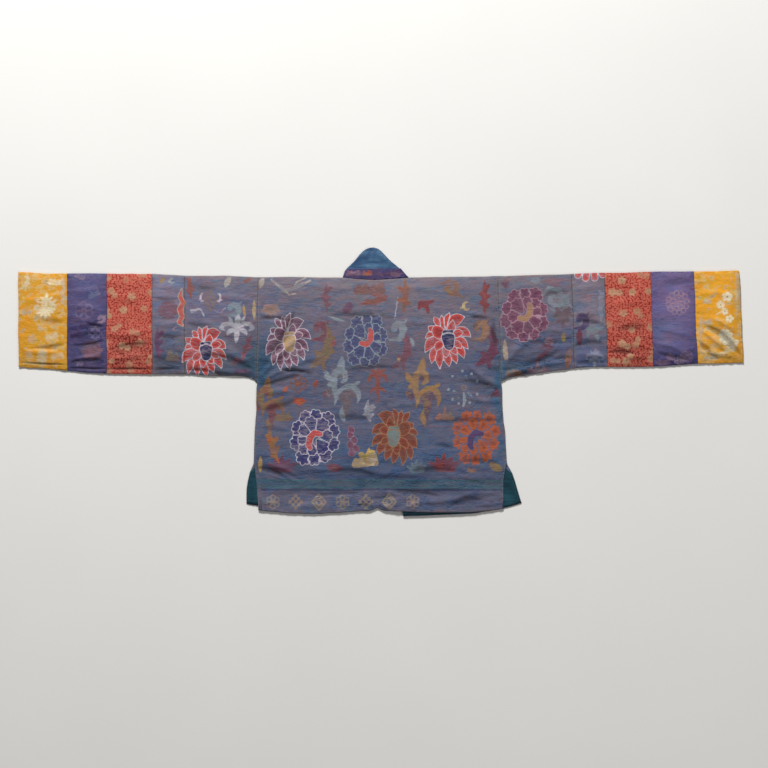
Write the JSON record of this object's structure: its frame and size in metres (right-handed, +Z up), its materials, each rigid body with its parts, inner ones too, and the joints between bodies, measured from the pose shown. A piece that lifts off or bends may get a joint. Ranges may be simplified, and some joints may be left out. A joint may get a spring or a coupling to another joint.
{
  "type": "tibetan jacket",
  "caption": "Lined silk brocade jacket with long banded sleeves, side vents and a tall collar, laid flat with its back up.",
  "frame": {"origin": "middle of the footprint, on the surface that the jacket lies on", "axes": "+X along the sleeves, +Y towards the collar, +Z up off the surface"},
  "size_m": [1.811, 0.6726, 0.0082],
  "materials": {
    "main_brocade": "slate blue changeable silk with woven flowers, soft sheen",
    "red_brocade": "coral red silk with a small scroll repeat",
    "purple_damask": "purple self-patterned damask, soft sheen",
    "yellow_satin": "marigold satin with pale cloud motifs",
    "teal_lining": "plain blue-green silk lining",
    "collar_brocade": "violet figured silk",
    "thread": "matt sewing thread"
  },
  "bodies": {
    "root": {"back": "main_brocade", "front_left": "main_brocade", "front_right": "main_brocade", "lining_left": "teal_lining", "lining_right": "teal_lining", "collar_front": "collar_brocade", "collar_lining": "teal_lining", "collar_band": "collar_brocade", "sleeve_upper_left": "main_brocade", "sleeve_strip_left": "main_brocade", "sleeve_red_left": "red_brocade", "sleeve_purple_left": "purple_damask", "sleeve_yellow_left": "yellow_satin", "sleeve_upper_right": "main_brocade", "sleeve_strip_right": "main_brocade", "sleeve_red_right": "red_brocade", "sleeve_purple_right": "purple_damask", "sleeve_yellow_right": "yellow_satin"}
  },
  "joints": []
}
